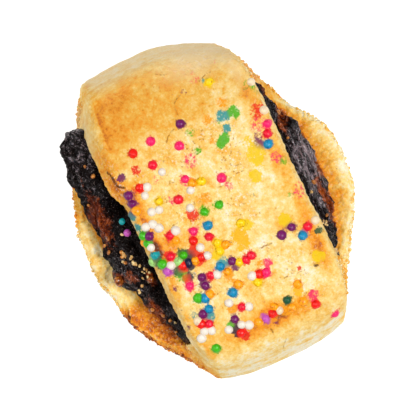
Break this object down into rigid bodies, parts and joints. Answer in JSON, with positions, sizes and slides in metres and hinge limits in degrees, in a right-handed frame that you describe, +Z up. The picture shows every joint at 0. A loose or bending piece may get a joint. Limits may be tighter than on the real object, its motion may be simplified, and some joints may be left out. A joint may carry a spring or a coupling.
{
  "type": "fig biscuit",
  "caption": "Slice of a baked fig roll biscuit: golden dough wrapped round a dark fig filling that shows at both cut sides, topped with coloured sugar sprinkles.",
  "frame": {"origin": "middle of the flat underside", "axes": "+X along the slice, from one closed end of the dough to the other; +Y across it, from one cut side to the other; +Z up, out of the sprinkled top"},
  "size_m": [0.0732, 0.0596, 0.0217],
  "materials": {
    "baked_dough": null,
    "fig_paste": null
  },
  "bodies": {
    "root": {"dough": "baked_dough", "fig_filling": "fig_paste"}
  },
  "joints": []
}
